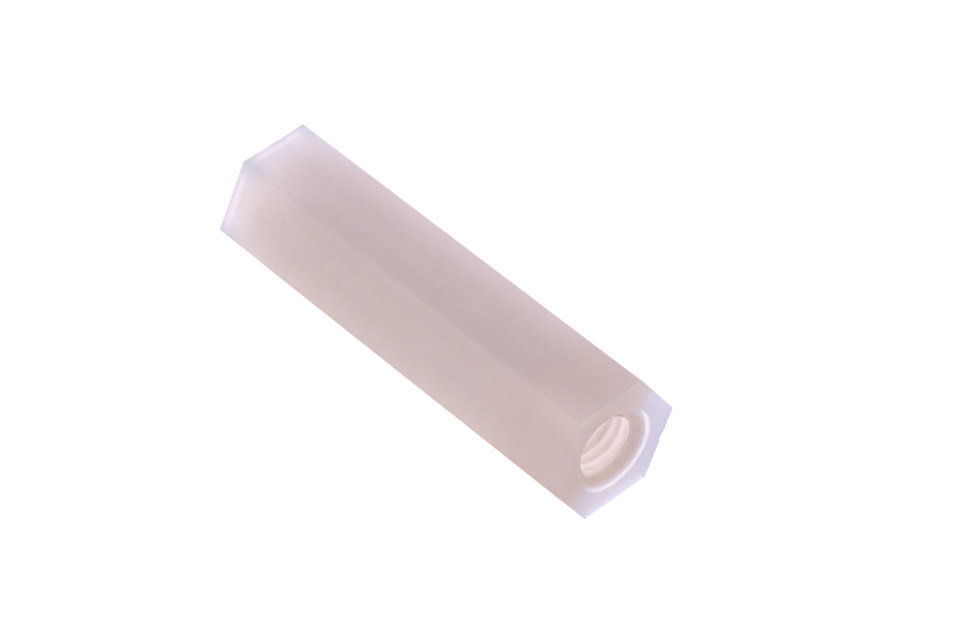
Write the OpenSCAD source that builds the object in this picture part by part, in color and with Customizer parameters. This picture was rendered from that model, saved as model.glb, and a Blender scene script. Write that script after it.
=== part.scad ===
// Hex standoff of natural nylon, threaded from end to end, lying on one of its flats.
// X runs along the standoff, Z is up, and the origin is under its middle. All sizes are in millimetres.
// The hole is drawn at the crests of its M3 thread, and the fine thread itself is left out.

/* [Hexagonal body] */
// Length from one end face to the other
body_len = 20; // [6:0.5:40]
// Width of the hexagon across two opposite flats
across_flats = 5.5; // [4.5:0.1:8]
// Radius of the six long corners
corner_r = 0.12; // [0.04:0.02:0.6]

/* [Threaded hole] */
// Diameter of the hole between the crests of its thread
crest_d = 2.5; // [2:0.05:3]
// Diameter of the countersink where it meets an end face
mouth_d = 3.9; // [3.2:0.05:4.4]
// Full angle of the countersink's cone
mouth_angle = 120; // [60:5:140]

/* [Hidden] */
// More facets than a polygon needs, so that each round surface is a true one
$fn = 64;
// How far a cutting tool reaches past the face that it cuts
overcut = 1;
sides = 6;
side_turn = 360 / sides;
// The smallest step that counts in a position
step = 0.0001;
// Distance from the hexagon's middle to the centre of each corner's rounding, which is also the width
// of the flat part of each side. It is rounded up, so that no corner falls short of its two flats.
corner_centre = ceil((across_flats / 2 - corner_r) / cos(side_turn / 2) / step) * step;
// Depth of the countersink, from the end face to the wall of the hole
mouth_depth = (mouth_d - crest_d) / 2 / tan(mouth_angle / 2);

// The hexagon with its rounded corners and with flats at top and bottom: one strip from flat to flat
// for each pair of sides, and a disc in each corner
module outline() {
    for (side = [0 : sides - 1]) {
        rotate(side * side_turn)
            translate([corner_centre, 0])
                circle(r = corner_r);
    }
    for (pair = [0 : sides / 2 - 1]) {
        rotate(pair * side_turn)
            square([corner_centre, across_flats], center = true);
    }
}

// The bar, from end face to end face along X
module bar() {
    rotate([90, 0, 90])
        linear_extrude(height = body_len, center = true)
            outline();
}

// The hole, which runs through both end faces
module hole() {
    rotate([0, 90, 0])
        cylinder(d = crest_d, h = body_len + 2 * overcut, center = true);
}

// The countersink of the +X end, whose cone is carried on past the end face
module countersink() {
    translate([body_len / 2 - mouth_depth, 0, 0])
        rotate([0, 90, 0])
            cylinder(
                r1 = crest_d / 2,
                r2 = mouth_d / 2 + overcut * tan(mouth_angle / 2),
                h = mouth_depth + overcut
            );
}

module hex_standoff() {
    color([0.84, 0.77, 0.78])
        translate([0, 0, across_flats / 2])
            difference() {
                bar();
                hole();
                countersink();
                mirror([1, 0, 0])
                    countersink();
            }
}

hex_standoff();
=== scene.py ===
import math

import bmesh
import bpy
from mathutils import Matrix, Quaternion, Vector


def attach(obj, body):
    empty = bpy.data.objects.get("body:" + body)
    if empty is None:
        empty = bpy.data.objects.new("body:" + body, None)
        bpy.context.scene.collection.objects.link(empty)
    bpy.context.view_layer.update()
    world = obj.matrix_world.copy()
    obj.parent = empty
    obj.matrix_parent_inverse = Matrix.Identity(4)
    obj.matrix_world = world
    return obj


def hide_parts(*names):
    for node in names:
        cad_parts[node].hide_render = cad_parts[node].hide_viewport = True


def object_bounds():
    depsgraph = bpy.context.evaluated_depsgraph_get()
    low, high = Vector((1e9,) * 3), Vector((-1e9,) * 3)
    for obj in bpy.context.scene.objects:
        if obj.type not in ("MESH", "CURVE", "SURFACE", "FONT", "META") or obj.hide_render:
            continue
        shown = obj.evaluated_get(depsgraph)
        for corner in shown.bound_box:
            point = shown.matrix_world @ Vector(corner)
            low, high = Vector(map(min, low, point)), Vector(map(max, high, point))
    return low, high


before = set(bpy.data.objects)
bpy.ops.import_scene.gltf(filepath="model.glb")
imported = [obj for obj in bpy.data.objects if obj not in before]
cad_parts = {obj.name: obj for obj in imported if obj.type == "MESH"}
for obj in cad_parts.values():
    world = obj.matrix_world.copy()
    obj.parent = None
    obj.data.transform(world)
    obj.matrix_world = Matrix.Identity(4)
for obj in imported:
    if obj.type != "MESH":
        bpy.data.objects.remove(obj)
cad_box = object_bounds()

# The camera stands in front of the +X end and to its right, and looks down at the standoff through a
# long lens. It is turned a little to one side, so that the bar slopes down towards the lower right.
scene = bpy.context.scene
box_low = Vector(cad_box[0])
box_high = Vector(cad_box[1])
bar_middle = (box_low + box_high) / 2
aim = bar_middle + Vector((0.001236, 0.000973, 0.000014))
view_turn = math.radians(-38.59)
view_height = math.radians(45.73)
view_distance = 0.17366
camera_roll = math.radians(-4.281)
towards_camera = Vector((
    math.cos(view_height) * math.cos(view_turn),
    math.cos(view_height) * math.sin(view_turn),
    math.sin(view_height),
))
camera_data = bpy.data.cameras.new("camera")
camera_data.sensor_width = 36.0
camera_data.lens = 165.14
camera_data.clip_start = 0.005
camera_data.clip_end = 20.0
camera = bpy.data.objects.new("camera", camera_data)
scene.collection.objects.link(camera)
camera.location = aim + view_distance * towards_camera
camera.rotation_mode = "QUATERNION"
level_view = towards_camera.to_track_quat("Z", "Y")
camera.rotation_quaternion = level_view @ Quaternion((0.0, 0.0, 1.0), camera_roll)
scene.camera = camera
scene.view_settings.view_transform = "Standard"
scene.cycles.max_bounces = 32
scene.cycles.volume_bounces = 24

# The floor is a wide, pale, matt board with a faint mottle, and the light on it is soft: a bright
# white room all round, a big cool lamp behind the bar and a white one beside it.


class Shade:
    """A value or colour inside one material. Sums and products of such values add Math nodes."""

    def __init__(self, tree, output=None):
        self.tree = tree
        self.output = output

    def node(self, kind, settings=None, sockets=None, output=0):
        """Adds one node, and gives the value of one of its outputs."""
        made = self.tree.nodes.new(kind)
        for name, setting in (settings or {}).items():
            setattr(made, name, setting)
        for name, value in (sockets or {}).items():
            if isinstance(value, Shade):
                self.tree.links.new(value.output, made.inputs[name])
            else:
                made.inputs[name].default_value = value
        return Shade(self.tree, made.outputs[output] if made.outputs else None)

    def maths(self, operation, *values):
        """Adds one Math node that works on the given values."""
        return self.node("ShaderNodeMath", {"operation": operation}, dict(enumerate(values)))

    def __add__(self, other):
        return self.maths("ADD", self, other)

    def __radd__(self, other):
        return self.maths("ADD", other, self)

    def __sub__(self, other):
        return self.maths("SUBTRACT", self, other)

    def __rsub__(self, other):
        return self.maths("SUBTRACT", other, self)

    def __mul__(self, other):
        return self.maths("MULTIPLY", self, other)

    def __rmul__(self, other):
        return self.maths("MULTIPLY", other, self)

    def __truediv__(self, other):
        return self.maths("DIVIDE", self, other)

    def __rtruediv__(self, other):
        return self.maths("DIVIDE", other, self)


def new_material(name):
    """A material with no nodes yet, and a Shade to build its nodes with."""
    material = bpy.data.materials.new(name)
    material.use_nodes = True
    material.node_tree.nodes.clear()
    return material, Shade(material.node_tree)


def blend(share, first, second):
    """Goes from the first colour to the second as the share goes from 0 to 1."""
    return share.node("ShaderNodeMix", {"data_type": "RGBA"}, {0: share, 6: first, 7: second}, output=2)


floor_width = 6.0
floor_mesh = bpy.data.meshes.new("floor")
floor_form = bmesh.new()
bmesh.ops.create_grid(floor_form, x_segments=1, y_segments=1, size=floor_width / 2)
floor_form.to_mesh(floor_mesh)
floor_form.free()
floor = bpy.data.objects.new("floor", floor_mesh)
scene.collection.objects.link(floor)
floor_paint, shade = new_material("floor_paint")
place = shade.node("ShaderNodeTexCoord", output="Object")
mottle = shade.node("ShaderNodeTexNoise", None, {"Vector": place, "Scale": 40.0, "Detail": 3.0})
floor_colour = blend(mottle, (0.90, 0.90, 0.90, 1.0), (0.92, 0.92, 0.92, 1.0))
floor_surface = shade.node(
    "ShaderNodeBsdfPrincipled",
    None,
    {"Base Color": floor_colour, "Roughness": 0.9, "Specular IOR Level": 0.2, "Emission Strength": 0.35},
)
shade.node("ShaderNodeOutputMaterial", None, {"Surface": floor_surface})
floor_mesh.materials.append(floor_paint)

world = bpy.data.worlds.new("room")
scene.world = world
world.use_nodes = True
world.node_tree.nodes["Background"].inputs["Color"].default_value = (1.0, 1.0, 1.0, 1.0)
world.node_tree.nodes["Background"].inputs["Strength"].default_value = 1.2

lamp_distance = 0.5
lamp_width = 0.5
for name, turn, energy, colour in (
    ("back_lamp", (-0.70, 0.65, 0.25), 2.6, (0.62, 0.72, 1.0)),
    ("side_lamp", (-0.40, -0.90, 0.30), 0.8, (1.0, 1.0, 1.0)),
):
    lamp_data = bpy.data.lights.new(name, "AREA")
    lamp_data.shape = "DISK"
    lamp_data.size = lamp_width
    lamp_data.energy = energy
    lamp_data.color = colour
    lamp = bpy.data.objects.new(name, lamp_data)
    scene.collection.objects.link(lamp)
    lamp_turn = Vector(turn).normalized()
    lamp.location = bar_middle + lamp_distance * lamp_turn
    lamp.rotation_mode = "QUATERNION"
    lamp.rotation_quaternion = lamp_turn.to_track_quat("Z", "Y")

# The standoff: one bar of natural nylon, moulded in one piece. It is hexagonal with nearly sharp
# corners, threaded M3 from end to end and countersunk at both ends, and it lies on one of its flats.
# It is shaped here in millimetres about its own axis, then laid in place in metres.
millimetre = 0.001
bar_length = (box_high.x - box_low.x) / millimetre
across_flats = (box_high.z - box_low.z) / millimetre
across_corners = across_flats * 2 / math.sqrt(3)
corner_radius = 0.12
rim_break = 0.02
crest_radius = 1.25
root_radius = 1.5
thread_pitch = 0.5
steps_a_turn = 36
mouth_radius = 1.95
mouth_slope = math.tan(math.radians(30))
weld = 0.0005

# The hexagonal bar, with its long corners rounded and its two end rims just broken
bar_form = bmesh.new()
bmesh.ops.create_circle(bar_form, cap_ends=True, segments=6, radius=across_corners / 2)
upright = Matrix.Rotation(math.pi / 2, 3, "Y")
bmesh.ops.rotate(bar_form, verts=bar_form.verts, cent=(0, 0, 0), matrix=upright)
bmesh.ops.translate(bar_form, verts=bar_form.verts, vec=(-bar_length / 2, 0, 0))
grown = bmesh.ops.extrude_face_region(bar_form, geom=bar_form.faces[:])
far_corners = [item for item in grown["geom"] if isinstance(item, bmesh.types.BMVert)]
bmesh.ops.translate(bar_form, verts=far_corners, vec=(bar_length, 0, 0))
long_edges = [edge for edge in bar_form.edges if edge.calc_length() > across_flats]
bmesh.ops.bevel(
    bar_form,
    geom=long_edges,
    offset=corner_radius * math.tan(math.pi / 6),
    offset_type="OFFSET",
    affect="EDGES",
    segments=5,
    profile=0.5,
    material=-1,
)
rim_edges = [
    edge for edge in bar_form.edges
    if abs(edge.verts[0].co.x - edge.verts[1].co.x) < rim_break
]
bmesh.ops.bevel(
    bar_form,
    geom=rim_edges,
    offset=rim_break,
    offset_type="OFFSET",
    affect="EDGES",
    segments=3,
    profile=0.5,
    material=-1,
)
bmesh.ops.recalc_face_normals(bar_form, faces=bar_form.faces)
bar_mesh = bpy.data.meshes.new("bar")
bar_form.to_mesh(bar_mesh)
bar_form.free()
standoff = bpy.data.objects.new("hex_standoff_nylon", bar_mesh)
scene.collection.objects.link(standoff)


def cut_with(form, name):
    """Turns the closed form's faces outwards, cuts it out of the standoff and keeps the result."""
    bmesh.ops.recalc_face_normals(form, faces=form.faces)
    if form.calc_volume(signed=True) < 0:
        bmesh.ops.reverse_faces(form, faces=form.faces)
    tool_mesh = bpy.data.meshes.new(name)
    form.to_mesh(tool_mesh)
    form.free()
    tool = bpy.data.objects.new(name, tool_mesh)
    scene.collection.objects.link(tool)
    cut = standoff.modifiers.new("cut", "BOOLEAN")
    cut.operation = "DIFFERENCE"
    cut.solver = "EXACT"
    cut.object = tool
    drawn = bpy.context.evaluated_depsgraph_get()
    result = bpy.data.meshes.new_from_object(standoff.evaluated_get(drawn))
    standoff.modifiers.clear()
    standoff.data = result
    bpy.data.objects.remove(tool)


# The nicks in the rim of the +X end, on its lower flat on the +Y side: one clear chip, and a shallow
# worn place nearer the corner. Each is given by its share of the way down the flat, half its width,
# its depth, and its reach along the bar.
flat_turn = Matrix.Rotation(math.radians(-30), 3, "X")
side_corner = Vector((bar_length / 2, across_corners / 2, 0))
down_the_flat = Vector((0, -0.5, -math.sqrt(3) / 2))
for share, half_width, depth, reach in ((0.42, 0.16, 0.09, 0.16), (0.18, 0.14, 0.04, 0.10)):
    chip_form = bmesh.new()
    bmesh.ops.create_icosphere(chip_form, subdivisions=3, radius=1.0)
    bmesh.ops.scale(chip_form, verts=chip_form.verts, vec=(reach, depth, half_width))
    bmesh.ops.rotate(chip_form, verts=chip_form.verts, cent=(0, 0, 0), matrix=flat_turn)
    chip_place = side_corner + share * across_corners / 2 * down_the_flat
    bmesh.ops.translate(chip_form, verts=chip_form.verts, vec=chip_place)
    cut_with(chip_form, "chip")

# The countersink at each end, cut by a cone that stands past the end face
sink_past_face = 1.0
sink_depth = mouth_radius * mouth_slope + sink_past_face
for side in (-1, 1):
    sink_form = bmesh.new()
    bmesh.ops.create_cone(
        sink_form,
        cap_ends=True,
        segments=96,
        radius1=0.0,
        radius2=sink_depth / mouth_slope,
        depth=sink_depth,
    )
    bmesh.ops.remove_doubles(sink_form, verts=sink_form.verts, dist=weld)
    sink_place = bar_length / 2 + sink_past_face - sink_depth / 2
    bmesh.ops.translate(sink_form, verts=sink_form.verts, vec=(0, 0, sink_place))
    sideways = Matrix.Rotation(side * math.pi / 2, 3, "Y")
    bmesh.ops.rotate(sink_form, verts=sink_form.verts, cent=(0, 0, 0), matrix=sideways)
    cut_with(sink_form, "countersink")

# The tap that cuts the thread. One tooth, given by its place in the pitch and its radius, is spun along
# the axis in a long helix, and the helix is closed at both ends outside the bar.
tap_turns = round(bar_length / thread_pitch) + 4
tap_reach = tap_turns * thread_pitch / 2
tooth = [
    (-0.50, crest_radius),
    (-0.39, crest_radius),
    (-0.33, crest_radius + 0.02),
    (-0.10, root_radius - 0.02),
    (-0.05, root_radius),
    (0.05, root_radius),
    (0.10, root_radius - 0.02),
    (0.33, crest_radius + 0.02),
    (0.39, crest_radius),
    (0.50, crest_radius),
]
tap_form = bmesh.new()
points = [tap_form.verts.new((part * thread_pitch - tap_reach, 0, radius)) for part, radius in tooth]
profile = [tap_form.edges.new(pair) for pair in zip(points, points[1:])]
bmesh.ops.spin(
    tap_form,
    geom=points + profile,
    cent=(0, 0, 0),
    axis=(1, 0, 0),
    dvec=(thread_pitch / steps_a_turn, 0, 0),
    angle=tap_turns * 2 * math.pi,
    steps=tap_turns * steps_a_turn,
)
bmesh.ops.remove_doubles(tap_form, verts=tap_form.verts, dist=weld)
for side in (-1, 1):
    rim = [edge for edge in tap_form.edges if edge.is_boundary and edge.verts[0].co.x * side > 0]
    cap = bmesh.ops.extrude_edge_only(tap_form, edges=rim)
    tip = [item for item in cap["geom"] if isinstance(item, bmesh.types.BMVert)]
    bmesh.ops.pointmerge(tap_form, verts=tip, merge_co=(side * tap_reach, 0, 0))
cut_with(tap_form, "tap")

# The finished mesh is laid in place and shaded smooth, with its edges kept sharp
to_place = Matrix.Translation(bar_middle) @ Matrix.Scale(millimetre, 4)
standoff.data.transform(to_place)
standoff.data.name = "hex_standoff_nylon"
for face in standoff.data.polygons:
    face.use_smooth = True
standoff.data.set_sharp_from_angle(angle=math.radians(40))
even = standoff.modifiers.new("even_shading", "WEIGHTED_NORMAL")
even.keep_sharp = True

# Natural nylon, clear on the outside and milky inside: light goes in, is scattered, and comes out warm
# where the bar is thick. The pale lavender at its thin ends is partly this scattering and partly
# painted light in its tint. Places are measured in millimetres from the middle of the bar: along it,
# across it and up.
bar_end = bar_length / 2
nylon, shade = new_material("natural_nylon")
place = shade.node("ShaderNodeTexCoord", output="Object")
along = shade.node("ShaderNodeSeparateXYZ", None, {"Vector": place}, output="X") / millimetre
across = shade.node("ShaderNodeSeparateXYZ", None, {"Vector": place}, output="Y") / millimetre
above_floor = shade.node("ShaderNodeSeparateXYZ", None, {"Vector": place}, output="Z")
height = (above_floor - bar_middle.z) / millimetre
from_axis = shade.maths("SQRT", across * across + height * height)


def fade(value, start, end):
    """Goes smoothly from 0 where the value is at start to 1 where it is at end."""
    return value.node(
        "ShaderNodeMapRange",
        {"interpolation_type": "SMOOTHSTEP"},
        {"Value": value, "From Min": start, "From Max": end, "To Min": 0.0, "To Max": 1.0},
    )


# Its tint: faintly clouded and warm along the body, with painted shade towards the +X end and along
# the upper corner on the -Y side, where less light comes through
cloud = shade.node("ShaderNodeTexNoise", None, {"Vector": place, "Scale": 300.0, "Detail": 3.0})
warm_body = blend(cloud, (0.875, 0.757, 0.738, 1.0), (0.895, 0.773, 0.756, 1.0))
near_end = fade(along, bar_end - 5.0, bar_end - 0.3)
end_painted_shade = blend(near_end, warm_body, (0.69, 0.57, 0.55, 1.0))
ridge_reach = height * math.sin(math.pi / 3) - across * math.cos(math.pi / 3)
on_ridge = fade(ridge_reach, 2.5, 3.1) * fade(along, 1.5 - bar_end, 4.0 - bar_end)
ridge_painted_shade = blend(on_ridge, end_painted_shade, (0.76, 0.63, 0.61, 1.0))

# Painted light: paler towards the -X end, where light coming in at that end shows through, with greyer
# corners there, and a painted lavender glow on the lower side of the +X face, where light shows through
# the thin wall
toward_tip = fade(along, 5.5 - bar_end, 0.2 - bar_end)
tip_painted_glow = blend(toward_tip, ridge_painted_shade, (0.87, 0.81, 0.86, 1.0))
corner = fade(from_axis, 2.85, 3.12)
grey_tip = blend(corner * fade(along, 2.0 - bar_end, 0.2 - bar_end), tip_painted_glow, (0.65, 0.66, 0.75, 1.0))
end_face = fade(along, bar_end - 0.2, bar_end - 0.1)
lit_side_turn = math.radians(51.5)
lower_side = (across * math.cos(lit_side_turn) - height * math.sin(lit_side_turn)) / mouth_radius
lit_side = fade(lower_side, -0.5, 0.4)
lit_face_glow = end_face * lit_side
tint = blend(lit_face_glow, grey_tip, (0.73, 0.75, 0.94, 1.0))

# The moulded skin, satin with a very fine grain
skin = shade.node("ShaderNodeTexNoise", None, {"Vector": place, "Scale": 2500.0, "Detail": 2.0})
skin_bump = shade.node("ShaderNodeBump", None, {"Height": skin, "Strength": 0.15, "Distance": 0.00002})
clear_nylon = shade.node(
    "ShaderNodeBsdfPrincipled",
    None,
    {
        "Base Color": tint,
        "Roughness": skin * 0.1 + 0.15,
        "Normal": skin_bump,
        "IOR": 1.53,
        "Transmission Weight": 1.0,
    },
)

# Painted light, mixed in as a brighter second surface: a painted highlight on the lip of the +X
# countersink, a painted glow on the cut thread behind it and on the last of the -X end, with a brighter
# line just inside its rim, and faintly on the lower side of the +X face
lip_gap = shade.maths("ABSOLUTE", from_axis - (mouth_radius - 0.09))
lip = fade(lip_gap, 0.17, 0.01) * fade(lower_side, -0.45, 0.55) * fade(along, bar_end - 0.4, bar_end - 0.2)
thread_glow = fade(along, bar_end - 4.0, bar_end - 2.0) * fade(along, bar_end - 0.32, bar_end - 0.6)
bore = fade(from_axis, root_radius + 0.1, root_radius) * thread_glow
last_of_tip = fade(along, 2.2 - bar_end, 0.2 - bar_end)
rim_gap = shade.maths("ABSOLUTE", along + (bar_end - 0.35))
tip_glow = (last_of_tip * 0.04 + fade(rim_gap, 0.16, 0.03) * 0.11) * (1.0 - corner)
brightest_painted_light = shade.maths("MAXIMUM", lip * 0.42, bore * 0.62)
glow = shade.maths("MAXIMUM", brightest_painted_light, tip_glow)
painted_light_share = shade.maths("MAXIMUM", glow, lit_face_glow * 0.1)
painted_light_colour = blend(lit_face_glow * (1.0 - lip), (1.0, 0.93, 0.97, 1.0), (0.55, 0.58, 0.95, 1.0))
# Painted glow: the cut thread behind the +X lip gives off a little light, and the rest of this surface a
# faint glow
bore_glow = blend(bore, (0.040, 0.034, 0.035, 1.0), (0.13, 0.12, 0.125, 1.0))
painted_light_surface = shade.node(
    "ShaderNodeBsdfPrincipled",
    None,
    {
        "Base Color": painted_light_colour,
        "Roughness": 0.4,
        "IOR": 1.53,
        "Emission Color": bore_glow,
        "Emission Strength": 1.0,
    },
)
surface = shade.node("ShaderNodeMixShader", None, {0: painted_light_share, 1: clear_nylon, 2: painted_light_surface})

# The milk inside scatters blue light most, and the stain lets red light go furthest
milk = shade.node("ShaderNodeVolumeScatter", None, {"Color": (0.70, 0.72, 1.0, 1.0), "Density": 2500.0})
stain = shade.node("ShaderNodeVolumeAbsorption", None, {"Color": (0.8, 0.15, 0.15, 1.0), "Density": 50.0})
inside = shade.node("ShaderNodeAddShader", None, {0: milk, 1: stain})
shade.node("ShaderNodeOutputMaterial", None, {"Surface": surface, "Volume": inside})
standoff.data.materials.append(nylon)
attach(standoff, "root")
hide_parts("hex_standoff")
